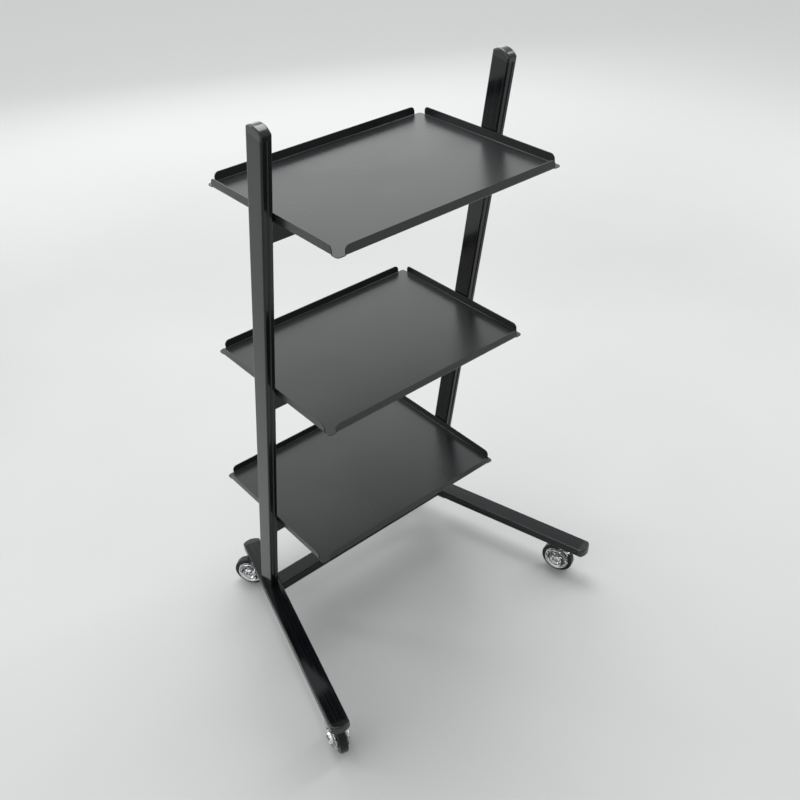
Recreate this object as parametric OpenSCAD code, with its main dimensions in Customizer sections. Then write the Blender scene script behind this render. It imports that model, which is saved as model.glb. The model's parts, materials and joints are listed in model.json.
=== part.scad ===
// Rolling salon trolley: two forward-leaning posts on splayed feet carry three folded sheet trays,
// and four clear-sided swivel casters carry the feet.
// Millimetres, +Z up, +Y towards the rear. The origin is on the floor, under the middle of the trolley.

/* [Trays] */
// Outside width of a tray, between the posts
tray_w = 465; // [300:5:600]
// Outside depth of a tray, front to rear
tray_d = 362; // [250:2:420]
// Height of a tray's folded lip, from the underside of its floor
lip_h = 17; // [10:1:30]
// Thickness of the tray sheet
sheet_t = 1.5; // [1:0.1:2.5]
// Height of the lowest tray's underside above the floor
low_tray_z = 318; // [260:2:360]
// Vertical distance from one tray to the next
tray_pitch = 368; // [260:2:400]
// Length of each corner tongue that has no lip beside it
corner_gap = 15; // [8:1:25]

/* [Posts and feet] */
// Width of the wide face of the bar used for posts, feet, rails and crossbar
bar_w = 40; // [36:1:48]
// Thickness of that bar
bar_t = 20; // [18:1:24]
// How far the wide faces bulge in the middle
bar_crown = 0.8; // [0.4:0.1:1.2]
// Forward lean of the posts, in degrees
lean = 11.7; // [6:0.1:14]
// Outward splay of each foot, in degrees
splay = 14.8; // [8:0.1:18]
// Height of the top of the post caps above the floor
post_top_z = 1215; // [1120:1:1300]
// Foot length ahead of the post, to the tip of its cap
foot_front = 432; // [380:1:500]
// Foot length behind the post, to the tip of its cap
foot_rear = 145; // [125:1:180]
// Length of the straight skirt of an end cap
cap_skirt = 8; // [5:1:12]
// Rise of the arched end of a cap
cap_rise = 8; // [4:1:12]

/* [Casters] */
// Radius of the wheel over its tyre
wheel_r = 38; // [34:1:40]
// Width of the tyre
tyre_w = 18; // [16:1:20]
// Distance from the swivel axis to the axle
trail = 20; // [18:1:22]
// Way each caster trails at rest, in degrees from +X: front left, front right, rear left, rear right
caster_yaw = [-105, 108, 129, 147];

/* [Hidden] */
$fn = 64;
eps = 0.01;

SIDES = [-1, 1];
TIERS = [0, 1, 2];
CASTERS = [[-1, 1], [1, 1], [-1, -1], [1, -1]];

wall = 2;
bar_r = 3;
groove_r = 2.6;
groove_depth = 1.6;
cavity_w = bar_w - 7;
cavity_t = bar_t - 2 * wall;
cavity_r = 1.5;
plug_gap = 0.15;
plug_len = 12;

// Heights of the caster stack, from the crown of the fork up to the foot
crown_z = 2 * wheel_r + 3;
race_t = 0.8;
ball_r = 0.75;
flange_t = 1.5;
foot_z = crown_z + race_t + 2 * ball_r + 0.2 + flange_t;
foot_top_z = foot_z + bar_t;

post_x = tray_w / 2 + 2 + bar_t / 2;
front_stem = foot_front - 53;
rear_stem = -(foot_rear - 45);
// The front and rear ends of the feet are equally far from the origin
base_y = (foot_front - foot_rear) * cos(splay) / 2;
crossbar_y = base_y - 14;
post_len = (post_top_z - foot_top_z) / cos(lean);

bend_r = 3;
tray_corner_r = 6;
lip_end_r = 9;
rail_end = post_x - bar_t / 2 - 0.1;

plate_t = 4;
bolt_r = 3;
bolt_head_r = 5;
bolt_head_t = 3.5;
bolt_offsets = [-11, 7];
crossbar_screws_x = [192, 212];

bracket_t = 3;
bracket_w = 30;
bracket_h = 38;
bracket_flange = 9;
screw_r = 2;
screw_head_r = 3.2;
screw_head_t = 2.4;
rail_screw_drop = [10, 28];
post_screw_drop = [22, 33];
rivet_nut_r = 2.9;
stud_out = 20;

stem_r = 5;
pin_r = 4;
cheek_r = 27.5;
cheek_in = tyre_w / 2 + 1.2;
cheek_out = cheek_in + 2.8;
dome_rise = 9.5;
dome_base_r = 27;
dome_r = (dome_base_r * dome_base_r + dome_rise * dome_rise) / (2 * dome_rise);
axle_r = 3;
bearing_r = 8;
bearing_w = 5;
hub_r = 29;

STEEL = [0.72, 0.73, 0.75];
CHROME = [0.85, 0.86, 0.88];
BLACK_BAR = [0.13, 0.13, 0.14];
BLACK_SHEET = [0.20, 0.21, 0.22];
BLACK_PLASTIC = [0.10, 0.10, 0.10];
CLEAR = [0.85, 0.90, 0.92, 0.6];

// ---- outlines ----

module rounded_rect(w, h, r) {
    square([w - 2 * r, h], center = true);
    square([w, h - 2 * r], center = true);
    for (x = SIDES, y = SIDES)
        translate([x * (w / 2 - r), y * (h / 2 - r)])
            circle(r);
}

// Bar section with crowned wide faces; the caps use it as it is
module bar_outline() {
    crown_r = (bar_w * bar_w / 4 + bar_crown * bar_crown) / (2 * bar_crown);
    intersection() {
        rounded_rect(bar_w, bar_t, bar_r);
        for (side = SIDES)
            translate([0, side * (crown_r - bar_t / 2)])
                circle(crown_r, $fn = 720);
    }
}

// Hollow extrusion: a groove runs along the middle of each narrow face
module bar_section() {
    difference() {
        bar_outline();
        for (side = SIDES)
            translate([side * (bar_w / 2 + groove_r - groove_depth), 0])
                circle(groove_r);
        rounded_rect(cavity_w, cavity_t, cavity_r);
    }
}

module plug_outline() {
    rounded_rect(cavity_w - 2 * plug_gap, cavity_t - 2 * plug_gap, cavity_r);
}

// ---- places ----

// The post's own frame: Z runs up the post, X across the trolley, Y through the wide face
module at_post(side) {
    translate([side * post_x, base_y, foot_top_z])
        rotate([lean, 0, 0])
            children();
}

// A bar in that frame, with its wide faces towards the sides of the trolley
module upright_bar(from, to) {
    translate([0, 0, from])
        linear_extrude(to - from)
            rotate(90)
                children();
}

// The foot's own frame: Z runs forward along the foot, Y up, X across it
module at_foot(side) {
    translate([side * post_x, base_y, foot_z + bar_t / 2])
        rotate([0, 0, side * splay])
            rotate([90, 0, 0])
                children();
}

function foot_point(side, s) =
    [side * (post_x + s * sin(splay)), base_y - s * cos(splay)];

function tray_z(tier) = low_tray_z + tier * tray_pitch;

// The posts' centre line at a height above the floor
function post_y(z) = base_y - (z - foot_top_z) * tan(lean);

module at_tray(tier) {
    translate([0, post_y(tray_z(tier)), tray_z(tier)])
        children();
}

module at_rail(tier) {
    translate([0, post_y(tray_z(tier) - bar_w / 2), tray_z(tier)])
        children();
}

function stem_point(caster) =
    foot_point(CASTERS[caster][0], CASTERS[caster][1] > 0 ? front_stem : rear_stem);

// The caster's own frame: Z up the swivel axis from the floor, X towards the axle
module at_caster(caster) {
    translate(stem_point(caster))
        rotate(caster_yaw[caster])
            children();
}

// The wheel's own frame: Z along the axle
module at_wheel(caster) {
    at_caster(caster)
        translate([trail, 0, wheel_r])
            rotate([90, 0, 0])
                children();
}

// ---- frame ----

module post(side) {
    color(BLACK_BAR)
        difference() {
            at_post(side)
                upright_bar(-12, post_len - cap_skirt - cap_rise)
                    bar_section();
            translate([side * post_x - bar_w, base_y - bar_w, foot_top_z - 2 * bar_w])
                cube(2 * bar_w);
            for (tier = TIERS, drop = post_screw_drop)
                rivet_place(side, tier, drop)
                    cylinder(h = 14, r = rivet_nut_r + 0.05, center = true);
        }
}

// Arched end of a bar, rounded at its rim: local Z points out of the bar, with the seam at zero
module arched_end(across) {
    arch_r = (across * across / 4 + cap_rise * cap_rise) / (2 * cap_rise);
    intersection() {
        linear_extrude(cap_skirt + cap_rise)
            bar_outline();
        translate([0, 0, cap_skirt + cap_rise - arch_r])
            rotate([90, 0, 0])
                rotate_extrude($fn = 180)
                    intersection() {
                        rounded_rect(2 * arch_r, bar_t, bar_r);
                        translate([0, -bar_t])
                            square([2 * arch_r, 2 * bar_t]);
                    }
    }
    translate([0, 0, -plug_len])
        linear_extrude(plug_len + eps)
            plug_outline();
}

module post_cap(side) {
    color(BLACK_PLASTIC)
        at_post(side)
            translate([0, 0, post_len - cap_skirt - cap_rise])
                rotate(90)
                    arched_end(bar_w);
}

module post_plugs() {
    color(STEEL)
        for (side = SIDES)
            difference() {
                at_post(side)
                    upright_bar(-12, 42)
                        plug_outline();
                translate([side * post_x - bar_w, base_y - bar_w, foot_top_z - 2 * bar_w])
                    cube(2 * bar_w);
                for (y = bolt_offsets)
                    translate([side * post_x, base_y + y, foot_top_z - eps])
                        cylinder(h = 26, r = bolt_r + 0.05);
            }
}

module foot(side) {
    color(BLACK_BAR)
        difference() {
            at_foot(side)
                translate([0, 0, -(foot_rear - cap_skirt - cap_rise)])
                    linear_extrude(foot_front + foot_rear - 2 * (cap_skirt + cap_rise))
                        bar_section();
            for (y = bolt_offsets)
                translate([side * post_x, base_y + y, foot_z - 1])
                    cylinder(h = bar_t + 2, r = bolt_r + 0.25);
            for (s = [front_stem, rear_stem])
                translate(concat(foot_point(side, s), foot_z - 1))
                    cylinder(h = wall + 2, r = stem_r + 0.3);
        }
}

module foot_cap(side, front) {
    color(BLACK_PLASTIC)
        at_foot(side)
            translate([0, 0, front ? foot_front - cap_skirt - cap_rise : cap_skirt + cap_rise - foot_rear])
                rotate([0, front ? 0 : 180, 0])
                    arched_end(bar_w);
}

// Everything on the inner side of both feet
module between_feet(height) {
    for (side = SIDES)
        translate([side * post_x, base_y, 0])
            rotate(side * splay)
                translate([side > 0 ? -bar_w / 2 : bar_w / 2 - 300, -bar_w * 3, foot_z - 1])
                    cube([300, bar_w * 6, height]);
}

module base_crossbar() {
    color(BLACK_BAR)
        difference() {
            translate([0, crossbar_y, foot_z + bar_t / 2])
                rotate([90, 0, 90])
                    linear_extrude(2 * post_x, center = true)
                        bar_section();
            between_feet(bar_t + 2);
            for (side = SIDES, x = crossbar_screws_x)
                translate([side * x, crossbar_y, foot_z - 1])
                    cylinder(h = wall + 2, r = bolt_r + 0.25);
        }
}

module crossbar_plugs() {
    color(STEEL)
        for (side = SIDES)
            difference() {
                translate([side * 200, crossbar_y, foot_z + bar_t / 2])
                    rotate([90, 0, 90])
                        linear_extrude(40, center = true)
                            plug_outline();
                for (x = crossbar_screws_x)
                    translate([side * x, crossbar_y, foot_z])
                        cylinder(h = bar_t, r = bolt_r + 0.05);
            }
}

// Steel plate below each corner, which ties foot, post and crossbar together
module joint_plates() {
    inner_x = 182;
    color(STEEL)
        for (side = SIDES)
            difference() {
                translate([0, 0, foot_z - plate_t])
                    linear_extrude(plate_t) {
                        translate([side * post_x, base_y])
                            rotate(side * splay)
                                translate([0, -8])
                                    rounded_rect(34, 78, 4);
                        translate([side * (inner_x + post_x) / 2, crossbar_y])
                            rounded_rect(post_x - inner_x, 30, 4);
                    }
                for (y = bolt_offsets)
                    translate([side * post_x, base_y + y, foot_z - plate_t - 1])
                        cylinder(h = plate_t + 2, r = bolt_r + 0.25);
                for (x = crossbar_screws_x)
                    translate([side * x, crossbar_y, foot_z - plate_t - 1])
                        cylinder(h = plate_t + 2, r = bolt_r + 0.25);
            }
}

// Button-head bolt pointing up, with the seat of its head at zero
module bolt(length, r, head_r, head_t) {
    difference() {
        translate([0, 0, -head_t])
            cylinder(h = head_t, r = head_r);
        translate([0, 0, -head_t - 1])
            cylinder(h = head_t / 2 + 1, r = r * 0.65, $fn = 6);
    }
    translate([0, 0, -eps])
        cylinder(h = length, r = r);
}

module post_bolts() {
    color(CHROME)
        for (side = SIDES, y = bolt_offsets)
            translate([side * post_x, base_y + y, foot_z - plate_t])
                bolt(plate_t + bar_t + 20, bolt_r, bolt_head_r, bolt_head_t);
}

// Crush sleeves that keep the bolts from closing the hollow foot
module bolt_sleeves() {
    color(STEEL)
        for (side = SIDES, y = bolt_offsets)
            translate([side * post_x, base_y + y, foot_z + wall + plug_gap])
                difference() {
                    cylinder(h = cavity_t - 2 * plug_gap, r = bolt_r + 3);
                    translate([0, 0, -1])
                        cylinder(h = cavity_t + 2, r = bolt_r + 0.25);
                }
}

module crossbar_screws() {
    color(CHROME)
        for (side = SIDES, x = crossbar_screws_x)
            translate([side * x, crossbar_y, foot_z - plate_t])
                bolt(plate_t + 14, bolt_r, bolt_head_r, bolt_head_t);
}

// ---- trays and rails ----

// Section of a folded lip: X points outwards to the lip's outer face, Y up from the tray's underside
module lip_section() {
    translate([-bend_r - 3, 0])
        square([3 + eps, sheet_t]);
    intersection() {
        difference() {
            translate([-bend_r, bend_r])
                circle(bend_r);
            translate([-bend_r, bend_r])
                circle(bend_r - sheet_t);
        }
        translate([-bend_r, 0])
            square(bend_r);
    }
    translate([-sheet_t, bend_r - eps])
        square([sheet_t, lip_h - bend_r + eps]);
}

// A lip along local Y, with its outer face at X = 0 and its upper corners rounded
module lip(length) {
    intersection() {
        rotate([90, 0, 0])
            linear_extrude(length, center = true)
                lip_section();
        rotate([90, 0, 90])
            translate([0, lip_h / 2 - lip_end_r, -bend_r - 4])
                linear_extrude(bend_r + 5)
                    rounded_rect(length, lip_h + 2 * lip_end_r, lip_end_r);
    }
}

module tray_floor() {
    linear_extrude(sheet_t)
        difference() {
            rounded_rect(tray_w, tray_d, tray_corner_r);
            for (side = SIDES) {
                translate([side * tray_w / 2, 0])
                    square([2 * bend_r, tray_d - 2 * corner_gap], center = true);
                translate([0, side * tray_d / 2])
                    square([tray_w - 2 * corner_gap, 2 * bend_r], center = true);
            }
        }
}

module tray(tier) {
    color(BLACK_SHEET)
        at_tray(tier) {
            tray_floor();
            for (side = SIDES) {
                rotate(side > 0 ? 0 : 180)
                    translate([tray_w / 2, 0])
                        lip(tray_d - 2 * corner_gap);
                rotate(side * 90)
                    translate([tray_d / 2, 0])
                        lip(tray_w - 2 * corner_gap);
            }
        }
}

module rail(tier) {
    color(BLACK_BAR)
        difference() {
            at_rail(tier)
                translate([0, 0, -bar_w / 2])
                    rotate([90, 90, 90])
                        linear_extrude(2 * rail_end, center = true)
                            bar_section();
            for (side = SIDES, drop = rail_screw_drop)
                rail_screw_place(side, tier, drop)
                    cylinder(h = 12, r = screw_r + 0.05, center = true);
        }
}

// Places behind the rail where the bracket is fixed to the post, to the rail and to the tray
module rivet_place(side, tier, drop) {
    at_rail(tier)
        translate([side * (rail_end - bracket_t), bar_t / 2 + 3.6, -drop])
            rotate([0, side * 90, 0])
                children();
}

module rail_screw_place(side, tier, drop) {
    at_rail(tier)
        translate([side * (rail_end - bracket_w + 8), bar_t / 2, -drop])
            rotate([90, 0, 0])
                children();
}

module stud_place(side, tier) {
    at_rail(tier)
        translate([side * (rail_end - bracket_w / 2), bar_t / 2 + stud_out / 2 + 2, 0])
            children();
}

// Pressed corner bracket: one flange each on the post, the rail and the tray
module rail_brackets() {
    color(BLACK_BAR)
        for (side = SIDES, tier = TIERS)
            difference() {
                at_rail(tier)
                    mirror([side > 0 ? 0 : 1, 0, 0])
                        translate([rail_end, bar_t / 2 + 0.05, -plug_gap]) {
                            translate([-bracket_t, 0, -bracket_h])
                                cube([bracket_t, bracket_flange, bracket_h]);
                            translate([-bracket_w, 0, -bracket_h])
                                cube([bracket_w, bracket_t, bracket_h]);
                            translate([-bracket_w, 0, -bracket_t])
                                cube([bracket_w, stud_out, bracket_t]);
                        }
                for (drop = post_screw_drop)
                    rivet_place(side, tier, drop) {
                        cylinder(h = 12, r = screw_r + 0.2, center = true);
                        translate([-screw_head_r - 0.3, -4, -6])
                            cube([2 * screw_head_r + 0.6, 4 + screw_head_r + 0.3, 6]);
                    }
                for (drop = rail_screw_drop)
                    rail_screw_place(side, tier, drop)
                        cylinder(h = 12, r = screw_r + 0.2, center = true);
                stud_place(side, tier)
                    cylinder(h = 12, r = screw_r + 0.2, center = true);
            }
}

module post_rivet_nuts() {
    color(STEEL)
        for (side = SIDES, tier = TIERS, drop = post_screw_drop)
            rivet_place(side, tier, drop)
                translate([0, 0, bracket_t + 0.2])
                    difference() {
                        cylinder(h = 9, r = rivet_nut_r);
                        translate([0, 0, -1])
                            cylinder(h = 11, r = screw_r + 0.05);
                    }
}

module post_screws() {
    color(CHROME)
        for (side = SIDES, tier = TIERS, drop = post_screw_drop)
            rivet_place(side, tier, drop)
                bolt(bracket_t + 8, screw_r, screw_head_r, screw_head_t);
}

module rail_screws() {
    color(CHROME)
        for (side = SIDES, tier = TIERS, drop = rail_screw_drop)
            rail_screw_place(side, tier, drop)
                translate([0, 0, -bracket_t - 0.05])
                    bolt(bracket_t + 5, screw_r, screw_head_r, screw_head_t);
}

// Weld studs under the tray floor
module tray_studs() {
    color(STEEL)
        for (side = SIDES, tier = TIERS)
            stud_place(side, tier)
                translate([0, 0, -10])
                    cylinder(h = 10, r = screw_r);
}

module tray_nuts() {
    color(CHROME)
        for (side = SIDES, tier = TIERS)
            stud_place(side, tier)
                translate([0, 0, -bracket_t - 3.4])
                    difference() {
                        cylinder(h = 3.2, r = 4, $fn = 6);
                        translate([0, 0, -1])
                            cylinder(h = 6, r = screw_r + 0.05);
                    }
}

// ---- casters ----

// Threaded bushes held inside the hollow feet
module caster_inserts() {
    color(STEEL)
        for (caster = [0:3])
            translate(concat(stem_point(caster), foot_z + wall + plug_gap))
                difference() {
                    cylinder(h = cavity_t - 2 * plug_gap, r = 7.4);
                    translate([0, 0, -1])
                        cylinder(h = cavity_t + 2, r = stem_r + 0.05);
                }
}

// Screwed stem with its flange, and the pin below it that the fork turns on
module stem(caster) {
    head_top = crown_z - 3.6;
    color(CHROME)
        at_caster(caster) {
            translate([0, 0, foot_z - eps])
                cylinder(h = bar_t - 3, r = stem_r);
            translate([0, 0, foot_z - flange_t])
                cylinder(h = flange_t, r = 10);
            translate([0, 0, head_top - eps])
                cylinder(h = foot_z - head_top - flange_t + 2 * eps, r = pin_r);
            translate([0, 0, head_top - 1.4])
                cylinder(h = 1.4, r = pin_r + 1.5);
        }
}

// Clear moulded fork: a crown over the tyre and a domed round cheek on each side
module fork(caster) {
    clearance_r = wheel_r + 1.3;
    leg_z = 46;
    color(CLEAR)
        difference() {
            union() {
                at_wheel(caster)
                    for (side = SIDES)
                        mirror([0, 0, side > 0 ? 0 : 1]) {
                            translate([0, 0, cheek_in])
                                cylinder(h = cheek_out - cheek_in, r = cheek_r);
                            intersection() {
                                translate([0, 0, cheek_out + dome_rise - dome_r])
                                    sphere(dome_r, $fn = 180);
                                translate([0, 0, cheek_out - eps])
                                    cylinder(h = dome_rise + 1, r = cheek_r);
                            }
                        }
                at_caster(caster) {
                    translate([-8, -17, leg_z])
                        cube([21, 34, crown_z - leg_z]);
                    translate([0, 0, crown_z - 14])
                        cylinder(h = 14, r = 15);
                }
            }
            at_wheel(caster)
                cylinder(h = 2 * cheek_in, r = clearance_r, center = true, $fn = 180);
            at_wheel(caster)
                cylinder(h = 80, r = axle_r + 0.02, center = true);
            at_caster(caster) {
                translate([0, 0, crown_z - 20])
                    cylinder(h = 30, r = pin_r + 0.05);
                translate([0, 0, crown_z - 20])
                    cylinder(h = 16.6, r = pin_r + 2);
            }
        }
}

// Thrust race with its ring of balls
module race(caster) {
    balls = 16;
    ball_ring_r = 7.5;
    color(STEEL)
        at_caster(caster) {
            translate([0, 0, crown_z])
                difference() {
                    cylinder(h = race_t, r = 9.8);
                    translate([0, 0, -1])
                        cylinder(h = 3, r = pin_r + 0.2);
                }
            for (ball = [0:balls - 1])
                rotate(ball * 360 / balls)
                    translate([ball_ring_r, 0, crown_z + race_t + ball_r - 0.05])
                        sphere(ball_r, $fn = 24);
        }
}

// Axle with spacer collars against the bearings and a button on each end
module axle(caster) {
    tip = cheek_out + dome_rise;
    color(CHROME)
        at_wheel(caster) {
            cylinder(h = 2 * tip + 1, r = axle_r, center = true);
            for (side = SIDES)
                mirror([0, 0, side > 0 ? 0 : 1]) {
                    translate([0, 0, cheek_in - 1.2])
                        cylinder(h = 1.1, r = axle_r + 1.5);
                    translate([0, 0, tip])
                        cylinder(h = 1.2, r = 6);
                }
        }
}

// Clear wheel core: rim, web and bearing boss
module hub(caster) {
    half = tyre_w / 2 - 0.5;
    boss_r = bearing_r + 4;
    rim_r = hub_r - 4;
    color(CLEAR)
        at_wheel(caster)
            rotate_extrude($fn = 120)
                difference() {
                    translate([bearing_r + 0.01, -half])
                        square([hub_r - bearing_r - 0.01, 2 * half]);
                    for (side = SIDES)
                        translate([boss_r, side > 0 ? 3 : -half - 1])
                            square([rim_r - boss_r, half - 2]);
                }
}

module tyre(caster) {
    shoulder_r = 3.5;
    depth = wheel_r - hub_r;
    color(BLACK_PLASTIC)
        at_wheel(caster)
            rotate_extrude($fn = 120) {
                translate([hub_r, -tyre_w / 2])
                    square([depth - shoulder_r, tyre_w]);
                translate([hub_r, shoulder_r - tyre_w / 2])
                    square([depth, tyre_w - 2 * shoulder_r]);
                for (side = SIDES)
                    translate([wheel_r - shoulder_r, side * (tyre_w / 2 - shoulder_r)])
                        circle(shoulder_r);
            }
}

module bearings(caster) {
    half = tyre_w / 2 - 0.5;
    color(STEEL)
        at_wheel(caster)
            for (side = SIDES)
                translate([0, 0, side * (half - bearing_w / 2)])
                    difference() {
                        cylinder(h = bearing_w, r = bearing_r, center = true);
                        cylinder(h = bearing_w + 2, r = axle_r + 0.05, center = true);
                    }
}

post(-1);  // left_post
post(1);  // right_post
post_cap(-1);  // left_post_cap
post_cap(1);  // right_post_cap
post_plugs();
foot(-1);  // left_foot
foot(1);  // right_foot
foot_cap(-1, true);  // front_left_foot_cap
foot_cap(1, true);  // front_right_foot_cap
foot_cap(-1, false);  // rear_left_foot_cap
foot_cap(1, false);  // rear_right_foot_cap
base_crossbar();
crossbar_plugs();
joint_plates();
post_bolts();
bolt_sleeves();
crossbar_screws();
tray(2);  // top_tray
tray(1);  // middle_tray
tray(0);  // bottom_tray
rail(2);  // top_rail
rail(1);  // middle_rail
rail(0);  // bottom_rail
rail_brackets();
post_rivet_nuts();
post_screws();
rail_screws();
tray_studs();
tray_nuts();
caster_inserts();
stem(0);  // front_left_stem
stem(1);  // front_right_stem
stem(2);  // rear_left_stem
stem(3);  // rear_right_stem
fork(0);  // front_left_fork
fork(1);  // front_right_fork
fork(2);  // rear_left_fork
fork(3);  // rear_right_fork
race(0);  // front_left_race
race(1);  // front_right_race
race(2);  // rear_left_race
race(3);  // rear_right_race
axle(0);  // front_left_axle
axle(1);  // front_right_axle
axle(2);  // rear_left_axle
axle(3);  // rear_right_axle
hub(0);  // front_left_hub
hub(1);  // front_right_hub
hub(2);  // rear_left_hub
hub(3);  // rear_right_hub
tyre(0);  // front_left_tyre
tyre(1);  // front_right_tyre
tyre(2);  // rear_left_tyre
tyre(3);  // rear_right_tyre
bearings(0);  // front_left_bearings
bearings(1);  // front_right_bearings
bearings(2);  // rear_left_bearings
bearings(3);  // rear_right_bearings
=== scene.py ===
"""Rolling salon trolley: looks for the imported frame. Metres, +Z up, +Y to the rear, origin on the floor."""

import json
import math

import bmesh
import bpy
from mathutils import Matrix, Vector


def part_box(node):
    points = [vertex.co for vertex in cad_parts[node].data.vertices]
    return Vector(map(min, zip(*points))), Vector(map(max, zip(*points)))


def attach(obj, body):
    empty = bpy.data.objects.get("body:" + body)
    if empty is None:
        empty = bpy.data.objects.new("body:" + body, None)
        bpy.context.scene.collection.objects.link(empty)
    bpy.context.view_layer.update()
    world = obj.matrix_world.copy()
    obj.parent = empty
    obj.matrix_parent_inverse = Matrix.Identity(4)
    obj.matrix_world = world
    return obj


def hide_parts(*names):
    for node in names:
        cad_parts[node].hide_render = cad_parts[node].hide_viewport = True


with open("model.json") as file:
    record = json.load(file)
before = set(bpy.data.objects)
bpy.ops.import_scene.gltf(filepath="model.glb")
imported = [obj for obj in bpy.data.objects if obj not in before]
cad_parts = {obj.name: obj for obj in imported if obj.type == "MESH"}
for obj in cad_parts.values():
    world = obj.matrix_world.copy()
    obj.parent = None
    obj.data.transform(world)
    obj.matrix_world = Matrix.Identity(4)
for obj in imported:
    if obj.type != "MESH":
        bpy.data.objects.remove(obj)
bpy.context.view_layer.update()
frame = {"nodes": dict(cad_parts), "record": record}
nodes = frame["nodes"]
scene = bpy.context.scene
CASTERS = ["front_left", "front_right", "rear_left", "rear_right"]
TIERS = ["top", "middle", "bottom"]

# The posts' forward lean and the feet's outward splay
LEAN, SPLAY = math.radians(11.7), math.radians(14.8)
# Corners of neighbouring facets closer than this are one point
SAME_POINT = 0.000004
# How far sheet edges are rounded, and the least fold that counts as an edge
TRAY_EDGE, BRACKET_EDGE, PLATE_EDGE = 0.0004, 0.0003, 0.0004
EDGE_ANGLE = math.radians(40)

# The CAD fork's own sizes: the cheek's inner face from the wheel's middle, its thickness, and its dome
CHEEK_INNER = 0.0102
CHEEK_THICKNESS = 0.0028
DOME_RISE = 0.0095
DOME_BASE = 0.027
DOME_RADIUS = (DOME_BASE ** 2 + DOME_RISE ** 2) / (2 * DOME_RISE)

# The faceted hollow behind each dome: facets to a ring, its floor, rim and core, and its rings of facets.
# A ring has its radius about the axle, its depth behind the dome, and the half step it is turned, or none.
FACETS = 12
HOLLOW_FLOOR = CHEEK_INNER + 0.0008
RIM_TOP = CHEEK_INNER + 0.0020
RIM_FLOOR_RADIUS, RIM_TOP_RADIUS, CORE_RADIUS = 0.0248, 0.0246, 0.0070
FACET_RINGS = [(0.0205, 0.0026, 0.5), (0.0150, 0.0056, 0.0), (0.0108, 0.0022, 0.5),
               (CORE_RADIUS, 0.0062, 0.0)]

# The plated bead round each dome
BEAD_RING = 0.02665
BEAD_RADIUS = 0.0006
BEAD_SINK = 0.0001
BEAD_STEPS, BEAD_SIDES = 96, 10

# The cut-glass fork's two materials
CLEAR_INDEX, SILVERED_INDEX = 0, 1

# Sockets of a Mix node that mixes colours, and the values between which most of a noise lies
MIX_FACTOR, MIX_A, MIX_B, MIX_RESULT = 0, 6, 7, 2
NOISE_SPAN = (0.3, 0.7)

FLOOR_RADIUS, FLOOR_CORNERS = 14, 96

# The photo's viewpoint, fitted to the photo: its turns, its place from the middle of the top tray's
# underside, and its lens
YAW, PITCH, ROLL = math.radians(39.17), math.radians(36.75), math.radians(-2.44)
CAMERA_FROM_TRAY = Vector((-0.9088, -1.1832, 0.6386))
SENSOR_WIDTH, FOCAL_LENGTH = 36, 42.696
SHIFT_X, SHIFT_Y = -0.0254, 0.0040


# ---- node helpers ----------------------------------------------------------

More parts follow.
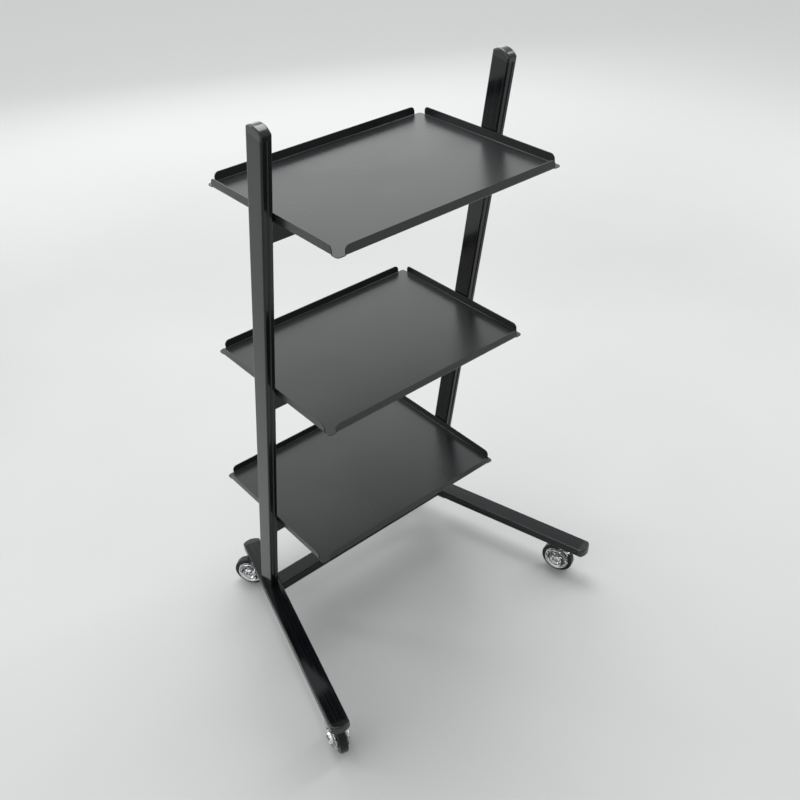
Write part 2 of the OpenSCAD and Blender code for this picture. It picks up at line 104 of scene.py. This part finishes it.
class Shader:
    """A material with a Principled BSDF and short calls for procedural detail.

    The values set sockets that are the same all over, with _ for each space in a socket's name.
    """

    def __init__(self, name, **values):
        self.mat = bpy.data.materials.new(name)
        self.mat.use_nodes = True
        self.tree = self.mat.node_tree
        self.tree.nodes.clear()
        out = self.new("ShaderNodeOutputMaterial")
        self.bsdf = self.new("ShaderNodeBsdfPrincipled")
        self.link(self.bsdf.outputs["BSDF"], out.inputs["Surface"])
        for key, value in values.items():
            self.bsdf.inputs[key.replace("_", " ")].default_value = value
        self.coords = self.new("ShaderNodeTexCoord").outputs["Object"]

    def new(self, kind, **values):
        node = self.tree.nodes.new(kind)
        for key, value in values.items():
            setattr(node, key, value)
        return node

    def link(self, a, b):
        self.tree.links.new(a, b)

    def turned(self, rotation):
        """Object coordinates turned by a rotation matrix, so that a bar's length becomes local Z."""
        node = self.new("ShaderNodeVectorRotate", rotation_type="EULER_XYZ")
        node.inputs["Rotation"].default_value = rotation.to_euler()
        self.link(self.coords, node.inputs["Vector"])
        return node.outputs["Vector"]

    def scaled(self, vector, scale):
        node = self.new("ShaderNodeMapping")
        node.inputs["Scale"].default_value = scale
        self.link(vector, node.inputs["Vector"])
        return node.outputs["Vector"]

    def noise(self, scale, detail, rough, vector=None, distortion=0.0):
        node = self.new("ShaderNodeTexNoise")
        node.inputs["Scale"].default_value = scale
        node.inputs["Detail"].default_value = detail
        node.inputs["Roughness"].default_value = rough
        node.inputs["Distortion"].default_value = distortion
        self.link(vector or self.coords, node.inputs["Vector"])
        return node.outputs["Fac"]

    def voronoi(self, scale):
        node = self.new("ShaderNodeTexVoronoi", feature="F1")
        node.inputs["Scale"].default_value = scale
        self.link(self.coords, node.inputs["Vector"])
        return node.outputs["Distance"]

    def range(self, fac, lo, hi, from_lo, from_hi):
        """fac spread smoothly from between from_lo and from_hi to between lo and hi, and held beyond them."""
        node = self.new("ShaderNodeMapRange", interpolation_type="SMOOTHSTEP")
        node.inputs["From Min"].default_value = from_lo
        node.inputs["From Max"].default_value = from_hi
        node.inputs["To Min"].default_value = lo
        node.inputs["To Max"].default_value = hi
        self.link(fac, node.inputs["Value"])
        return node.outputs["Result"]

    def add(self, a, b):
        node = self.new("ShaderNodeMath", operation="ADD")
        self.link(a, node.inputs[0])
        self.link(b, node.inputs[1])
        return node.outputs[0]

    def mix(self, fac, a, b):
        """Colour a where fac is 0 and b where it is 1; each is three numbers or a node's output."""
        node = self.new("ShaderNodeMix", data_type="RGBA")
        self.link(fac, node.inputs[MIX_FACTOR])
        for index, colour in ((MIX_A, a), (MIX_B, b)):
            if isinstance(colour, tuple):
                node.inputs[index].default_value = (*colour, 1)
            else:
                self.link(colour, node.inputs[index])
        return node.outputs[MIX_RESULT]

    def bump(self, layers):
        """layers is a list of (height, strength, distance in metres), the coarsest first."""
        normal = None
        for height, strength, distance in layers:
            node = self.new("ShaderNodeBump")
            node.inputs["Strength"].default_value = strength
            node.inputs["Distance"].default_value = distance
            self.link(height, node.inputs["Height"])
            if normal is not None:
                self.link(normal, node.inputs["Normal"])
            normal = node.outputs["Normal"]
        self.link(normal, self.bsdf.inputs["Normal"])

    def set(self, socket, value):
        self.link(value, self.bsdf.inputs[socket])


def axis_turn(direction):
    """Rotation that takes a direction to +Z."""
    return Vector(direction).normalized().rotation_difference(Vector((0, 0, 1))).to_matrix()


def dress(node_name, material):
    """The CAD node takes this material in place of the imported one."""
    data = nodes[node_name].data
    data.materials.clear()
    data.materials.append(material)


def broken_edges(obj, width):
    """Joins the facets' split corners and rounds the edges a little, so that they catch light."""
    weld = obj.modifiers.new("weld", "WELD")
    weld.merge_threshold = SAME_POINT
    bevel = obj.modifiers.new("edges", "BEVEL")
    bevel.width = width
    bevel.segments = 2
    bevel.limit_method = "ANGLE"
    bevel.angle_limit = EDGE_ANGLE
    bevel.use_clamp_overlap = True


# ---- materials -------------------------------------------------------------

def bar_material(name, direction, pale, depth):
    """Black anodised extrusion: die lines along the bar, of that paleness and depth, and rubbed specks."""
    s = Shader(name, IOR=1.5, Specular_IOR_Level=0.28, Coat_Weight=0.16, Coat_Roughness=0.06)
    along = s.turned(axis_turn(direction))
    lines = s.noise(1.0, 3, 0.6, s.scaled(along, (520, 520, 1.4)))
    broad = s.noise(1.0, 2, 0.5, s.scaled(along, (150, 150, 1.0)))
    cloud = s.noise(11.0, 3, 0.55)
    speck = s.noise(900.0, 1, 0.4)
    base = s.mix(s.range(lines, 0, 1, *NOISE_SPAN), (0.0015, 0.0020, 0.0030), (pale, pale, pale + 0.0015))
    base = s.mix(s.range(speck, 0, 0.25, 0.76, 0.84), base, (0.06, 0.06, 0.065))
    s.set("Base Color", base)
    rough = s.range(lines, 0.07, 0.20, 0.35, 0.65)
    rough = s.add(rough, s.range(cloud, -0.02, 0.04, *NOISE_SPAN))
    s.set("Roughness", rough)
    s.bump([(broad, 0.06, 0.0003), (lines, depth, 0.0001), (speck, 0.03, 0.00004)])
    return s.mat


def sheet_material(name):
    """Satin black powder coat on folded sheet, with a fine orange peel and faint wiping marks."""
    s = Shader(name, IOR=1.5)
    peel = s.noise(1500.0, 2, 0.5)
    grain = s.voronoi(2600.0)
    wipe = s.noise(1.0, 1, 0.5, s.scaled(s.coords, (5.0, 9.0, 5.0)))
    cloud = s.noise(5.0, 3, 0.5)
    dust = s.noise(1900.0, 0, 0.5)
    base = s.mix(s.range(cloud, 0, 1, *NOISE_SPAN), (0.009, 0.0105, 0.011), (0.012, 0.0135, 0.014))
    base = s.mix(s.range(dust, 0, 0.5, 0.78, 0.84), base, (0.12, 0.12, 0.12))
    s.set("Base Color", base)
    rough = s.range(wipe, 0.26, 0.30, *NOISE_SPAN)
    s.set("Roughness", s.add(rough, s.range(cloud, -0.02, 0.03, *NOISE_SPAN)))
    s.bump([(peel, 0.03, 0.00004), (grain, 0.01, 0.00002)])
    return s.mat


def cap_material(name):
    """Moulded black plastic, semi-gloss, with a very fine spark-eroded grain."""
    s = Shader(name, IOR=1.5, Coat_Weight=0.2, Coat_Roughness=0.06)
    grain = s.noise(2400.0, 2, 0.6)
    cloud = s.noise(40.0, 2, 0.5)
    base = s.mix(s.range(cloud, 0, 1, *NOISE_SPAN), (0.004, 0.004, 0.005), (0.008, 0.008, 0.009))
    s.set("Base Color", base)
    s.set("Roughness", s.range(cloud, 0.17, 0.25, *NOISE_SPAN))
    s.bump([(cloud, 0.06, 0.0006), (grain, 0.10, 0.00005)])
    return s.mat


def tyre_material(name):
    """Black polyurethane: soft sheen, faint scuffs and floor dust."""
    s = Shader(name, IOR=1.5, Specular_IOR_Level=0.3)
    grain = s.noise(1400.0, 3, 0.6)
    scuff = s.noise(1.0, 4, 0.65, s.scaled(s.coords, (160, 160, 420)), distortion=1.2)
    cloud = s.noise(60.0, 2, 0.5)
    base = s.mix(s.range(cloud, 0, 1, *NOISE_SPAN), (0.004, 0.004, 0.005), (0.009, 0.009, 0.010))
    base = s.mix(s.range(scuff, 0, 0.4, 0.62, 0.78), base, (0.035, 0.034, 0.033))
    s.set("Base Color", base)
    s.set("Roughness", s.range(scuff, 0.20, 0.40, 0.35, 0.75))
    s.bump([(scuff, 0.10, 0.0003), (grain, 0.12, 0.0001)])
    return s.mat


def metal_material(name, colour, rough, spread):
    """Plated steel: turned or drawn lines, cloudy plating and tiny pits."""
    s = Shader(name, Metallic=1.0)
    lines = s.noise(1.0, 3, 0.6, s.scaled(s.coords, (60, 60, 900)))
    cloud = s.noise(90.0, 3, 0.6)
    pit = s.noise(2600.0, 1, 0.5)
    dark = tuple(c * 0.82 for c in colour)
    s.set("Base Color", s.mix(s.range(cloud, 0, 1, 0.35, 0.7), dark, colour))
    sheen = s.range(lines, rough, rough + spread, *NOISE_SPAN)
    s.set("Roughness", s.add(sheen, s.range(pit, 0, 0.08, 0.65, 0.8)))
    s.bump([(lines, 0.08, 0.00012), (pit, 0.06, 0.00004)])
    return s.mat


def silvered_material(name):
    """Silvering behind the facets, and the plated bead: bright, with faint cloudiness and pinholes."""
    s = Shader(name, Metallic=1.0)
    cloud = s.noise(160.0, 3, 0.6)
    pit = s.noise(3200.0, 1, 0.5)
    s.set("Base Color", s.mix(s.range(cloud, 0, 1, *NOISE_SPAN), (0.93, 0.94, 0.95), (0.98, 0.98, 0.98)))
    s.set("Roughness", s.add(s.range(cloud, 0.03, 0.06, *NOISE_SPAN), s.range(pit, 0, 0.05, 0.65, 0.8)))
    s.bump([(pit, 0.03, 0.00003)])
    return s.mat


def clear_material(name, tint=(0.97, 0.985, 0.99), rough=0.02):
    """Clear moulded plastic with flow lines and a few fine scratches."""
    s = Shader(name, IOR=1.52, Transmission_Weight=1.0)
    flow = s.noise(70.0, 3, 0.5, distortion=0.7)
    scratch = s.noise(1.0, 2, 0.5, s.scaled(s.coords, (1200, 90, 500)))
    s.set("Base Color", s.mix(s.range(flow, 0, 1, *NOISE_SPAN), tuple(c * 0.96 for c in tint), tint))
    s.set("Roughness", s.range(scratch, rough, rough + 0.10, 0.62, 0.8))
    s.bump([(flow, 0.05, 0.0006)])
    return s.mat


post_bar = bar_material("black_bar_post", (0, -math.sin(LEAN), math.cos(LEAN)), 0.014, 0.10)
foot_bar = {-1: bar_material("black_bar_left_foot", (-math.sin(SPLAY), -math.cos(SPLAY), 0), 0.007, 0.05),
            1: bar_material("black_bar_right_foot", (math.sin(SPLAY), -math.cos(SPLAY), 0), 0.007, 0.05)}
cross_bar = bar_material("black_bar_across", (1, 0, 0), 0.010, 0.07)
sheet = sheet_material("black_sheet_satin")
bracket = sheet_material("black_bracket_coat")
cap = cap_material("black_cap_moulded")
tyre = tyre_material("tyre_black_pu")
zinc = metal_material("zinc_plated_steel", (0.62, 0.63, 0.65), 0.28, 0.16)
bright = metal_material("bright_plated_steel", (0.80, 0.81, 0.83), 0.08, 0.10)
silvered = silvered_material("silvered_facets")
clear = clear_material("clear_moulding")
clear_hub = clear_material("clear_hub", (0.95, 0.97, 0.98), 0.04)

looks = {"rail_brackets": bracket, "base_crossbar": cross_bar}
for name in ("post_plugs", "crossbar_plugs", "joint_plates", "post_bolts", "bolt_sleeves", "crossbar_screws",
             "post_rivet_nuts", "post_screws", "rail_screws", "tray_studs", "tray_nuts", "caster_inserts"):
    looks[name] = zinc
for tier in TIERS:
    looks[tier + "_tray"] = sheet
    looks[tier + "_rail"] = cross_bar
for side, hand in ((-1, "left"), (1, "right")):
    looks[hand + "_post"] = post_bar
    looks[hand + "_post_cap"] = cap
    looks[hand + "_foot"] = foot_bar[side]
for c in CASTERS:
    looks[c + "_foot_cap"] = cap
    looks[c + "_stem"] = bright
    looks[c + "_fork"] = clear
    looks[c + "_race"] = zinc
    looks[c + "_axle"] = bright
    looks[c + "_hub"] = clear_hub
    looks[c + "_tyre"] = tyre
    looks[c + "_bearings"] = zinc
for name in nodes:
    dress(name, looks[name])


# ---- cut-glass casters ------------------------------------------------------

class WheelPlace:
    """Points about a wheel's axle: radius, angle in the wheel's plane, and distance along the axle."""

    def __init__(self, spin, side):
        self.axle = Vector(spin["pos_m"])
        axis = Vector(spin["axis"]).normalized()
        self.across = axis * side
        self.up = Vector((0, 0, 1))
        self.along = axis.cross(self.up)

    def at(self, radius, angle, offset):
        in_plane = self.along * math.cos(angle) + self.up * math.sin(angle)
        return self.axle + in_plane * radius + self.across * offset


def dome_surface(radius):
    """How far the dome's outer surface is from the wheel's middle, at a radius about the axle."""
    flat = CHEEK_INNER + CHEEK_THICKNESS + DOME_RISE - DOME_RADIUS
    return flat + math.sqrt(DOME_RADIUS ** 2 - radius ** 2)


def ring_of_facets(bm, a, b, turn):
    """Faces between two rings; turn is how much further round ring b starts, in steps."""
    faces = []
    for a0, a1, b0, b1 in zip(a, a[1:] + a[:1], b, b[1:] + b[:1]):
        if turn == 0:
            faces.append(bm.faces.new((a0, a1, b1, b0)))
        elif turn > 0:
            faces.append(bm.faces.new((a0, a1, b0)))
            faces.append(bm.faces.new((a1, b1, b0)))
        else:
            faces.append(bm.faces.new((a0, a1, b1)))
            faces.append(bm.faces.new((a0, b1, b0)))
    return faces


def facet_cavity(bm, place):
    """A hollow with a star of flat silvered facets behind the dome; its faces look into the hollow."""
    step = math.tau / FACETS
    rings = [(RIM_FLOOR_RADIUS, HOLLOW_FLOOR, 0.0), (RIM_TOP_RADIUS, RIM_TOP, 0.0)]
    rings += [(radius, dome_surface(radius) - depth, turn) for radius, depth, turn in FACET_RINGS]
    rings.append((CORE_RADIUS, HOLLOW_FLOOR, 0.0))
    loops = [[bm.verts.new(place.at(radius, (i + turn) * step, offset)) for i in range(FACETS)]
             for radius, offset, turn in rings]
    turns = [turn for radius, offset, turn in rings]
    faces = []
    for here in range(len(loops)):
        after = (here + 1) % len(loops)
        faces += ring_of_facets(bm, loops[here], loops[after], turns[after] - turns[here])
    bmesh.ops.recalc_face_normals(bm, faces=faces)
    bmesh.ops.reverse_faces(bm, faces=faces)
    for face in faces:
        face.smooth = False
    # The hollow's rim, core and floor stay clear, and so does the upper half of its outermost ring of facets
    for face in faces[FACETS * 2:-FACETS * 2]:
        face.material_index = SILVERED_INDEX


def edge_bead(bm, place):
    """A plated bead round the dome, where it meets the cheek."""
    middle = dome_surface(BEAD_RING) - BEAD_SINK
    loops = []
    for step in range(BEAD_STEPS):
        angle = step * math.tau / BEAD_STEPS
        turns = [v * math.tau / BEAD_SIDES for v in range(BEAD_SIDES)]
        loops.append([bm.verts.new(place.at(BEAD_RING + BEAD_RADIUS * math.cos(turn), angle,
                                            middle + BEAD_RADIUS * math.sin(turn))) for turn in turns])
    faces = []
    for here, after in zip(loops, loops[1:] + loops[:1]):
        for v in range(BEAD_SIDES):
            w = (v + 1) % BEAD_SIDES
            faces.append(bm.faces.new((here[v], after[v], after[w], here[w])))
    bmesh.ops.recalc_face_normals(bm, faces=faces)
    for face in faces:
        face.material_index = SILVERED_INDEX
        face.smooth = True


def cut_glass_fork(caster):
    """The clear fork with a faceted hollow in each domed cheek and a plated bead round each dome."""
    source = nodes[caster + "_fork"]
    joints = frame["record"]["behaviour"]["joints"]
    spin = next(joint for joint in joints if joint["name"] == caster + "_wheel_spin")
    bm = bmesh.new()
    bm.from_mesh(source.data)
    bmesh.ops.transform(bm, matrix=source.matrix_world, verts=bm.verts)
    bmesh.ops.remove_doubles(bm, verts=bm.verts, dist=SAME_POINT)
    for face in bm.faces:
        face.material_index = CLEAR_INDEX
    for side in (1, -1):
        place = WheelPlace(spin, side)
        facet_cavity(bm, place)
        edge_bead(bm, place)
    bmesh.ops.transform(bm, matrix=source.matrix_world.inverted(), verts=bm.verts)
    mesh = bpy.data.meshes.new(caster + "_cut_glass_fork")
    bm.to_mesh(mesh)
    bm.free()
    mesh.materials.append(clear)
    mesh.materials.append(silvered)
    piece = bpy.data.objects.new(caster + "_cut_glass_fork", mesh)
    scene.collection.objects.link(piece)
    piece.matrix_world = source.matrix_world
    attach(piece, caster + "_swivel")
    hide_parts(caster + "_fork")


for c in CASTERS:
    cut_glass_fork(c)

for tier in TIERS:
    broken_edges(nodes[tier + "_tray"], TRAY_EDGE)
broken_edges(nodes["rail_brackets"], BRACKET_EDGE)
broken_edges(nodes["joint_plates"], PLATE_EDGE)


# ---- stage, light and camera ----------------------------------------------

def stage_floor():
    """A plain pale disc whose colour is painted lighter away from the trolley: painted light, giving the far
    floor the brightness of the lit white walls round a studio.
    """
    mesh = bpy.data.meshes.new("stage_floor")
    bm = bmesh.new()
    turns = [i * math.tau / FLOOR_CORNERS for i in range(FLOOR_CORNERS)]
    bm.faces.new([bm.verts.new((FLOOR_RADIUS * math.cos(t), FLOOR_RADIUS * math.sin(t), 0)) for t in turns])
    bm.to_mesh(mesh)
    bm.free()
    floor = bpy.data.objects.new("stage_floor", mesh)
    scene.collection.objects.link(floor)
    s = Shader("stage_floor", IOR=1.45, Specular_IOR_Level=0.35)
    cloud = s.noise(1.1, 3, 0.5)
    grain = s.noise(60.0, 3, 0.6)
    reach = s.new("ShaderNodeVectorMath", operation="LENGTH")
    s.link(s.coords, reach.inputs[0])
    near = s.mix(s.range(cloud, 0, 1, *NOISE_SPAN), (0.520, 0.526, 0.520), (0.545, 0.551, 0.545))
    # Painted light: the colour turns from the near tone to a paler one between 1.6 m and 3.6 m out, standing
    # in for the brightly lit walls beyond
    s.set("Base Color", s.mix(s.range(reach.outputs["Value"], 0, 1, 1.6, 3.6), near, (0.76, 0.765, 0.76)))
    s.set("Roughness", s.range(grain, 0.42, 0.55, *NOISE_SPAN))
    s.bump([(grain, 0.03, 0.0004)])
    mesh.materials.append(s.mat)


def area_light(name, location, target_z, size, power, colour=(1.0, 1.0, 1.0)):
    """A soft panel of that width and height that faces a point on the trolley's middle line."""
    data = bpy.data.lights.new(name, "AREA")
    data.shape = "RECTANGLE"
    data.size, data.size_y = size
    data.energy = power
    data.color = colour
    obj = bpy.data.objects.new(name, data)
    obj.location = location
    facing = Vector((0, 0, target_z)) - Vector(location)
    obj.rotation_euler = facing.to_track_quat("-Z", "Y").to_euler()
    scene.collection.objects.link(obj)


def studio_sky():
    """Even light from all round, brighter to the rear and left than from the front."""
    world = bpy.data.worlds.new("soft_studio")
    world.use_nodes = True
    tree = world.node_tree
    brightest = (-0.35, 0.90, 0.25)
    toward = tree.nodes.new("ShaderNodeVectorMath")
    toward.operation = "DOT_PRODUCT"
    toward.inputs[1].default_value = brightest
    tree.links.new(tree.nodes.new("ShaderNodeTexCoord").outputs["Generated"], toward.inputs[0])
    shade = tree.nodes.new("ShaderNodeMapRange")
    for key, value in (("From Min", -0.75), ("From Max", 0.45), ("To Min", 0.42), ("To Max", 0.94)):
        shade.inputs[key].default_value = value
    tree.links.new(toward.outputs["Value"], shade.inputs["Value"])
    tree.links.new(shade.outputs["Result"], tree.nodes["Background"].inputs["Strength"])
    tree.nodes["Background"].inputs["Color"].default_value = (0.95, 0.965, 0.97, 1)
    scene.world = world
    scene.view_settings.view_transform = "Standard"


def photo_camera():
    """The photo's viewpoint: in front of, left of and above the top tray's middle."""
    data = bpy.data.cameras.new("photo_view")
    camera = bpy.data.objects.new("photo_view", data)
    scene.collection.objects.link(camera)
    ahead = Vector((math.sin(YAW) * math.cos(PITCH), math.cos(YAW) * math.cos(PITCH), -math.sin(PITCH)))
    level_right = Vector((math.cos(YAW), -math.sin(YAW), 0))
    level_up = level_right.cross(ahead)
    right = math.cos(ROLL) * level_right + math.sin(ROLL) * level_up
    up = -math.sin(ROLL) * level_right + math.cos(ROLL) * level_up
    camera.matrix_world = Matrix((right, up, -ahead)).transposed().to_4x4()
    low, high = (Vector(corner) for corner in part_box("top_tray"))
    middle = (low + high) / 2
    camera.location = Vector((middle.x, middle.y, low.z)) + CAMERA_FROM_TRAY
    data.sensor_width = SENSOR_WIDTH
    data.lens = FOCAL_LENGTH
    data.shift_x, data.shift_y = SHIFT_X, SHIFT_Y
    scene.camera = camera


stage_floor()
area_light("ceiling_panel", (0.4, 0.6, 2.9), 0.3, (1.5, 1.5), 40, (1.0, 1.0, 0.99))
area_light("rear_wall_bounce", (1.6, 3.2, 1.8), 0.8, (3.2, 2.2), 22)
area_light("left_wall_bounce", (-3.0, 0.8, 1.7), 0.7, (2.6, 2.0), 14)
area_light("rear_strip", (-1.7, 2.3, 2.3), 0.6, (0.28, 2.6), 14)
area_light("right_strip", (2.6, -0.4, 2.2), 0.5, (0.28, 2.6), 20)
area_light("front_fill", (1.4, -3.2, 2.0), 0.5, (2.4, 1.6), 8)
studio_sky()
photo_camera()
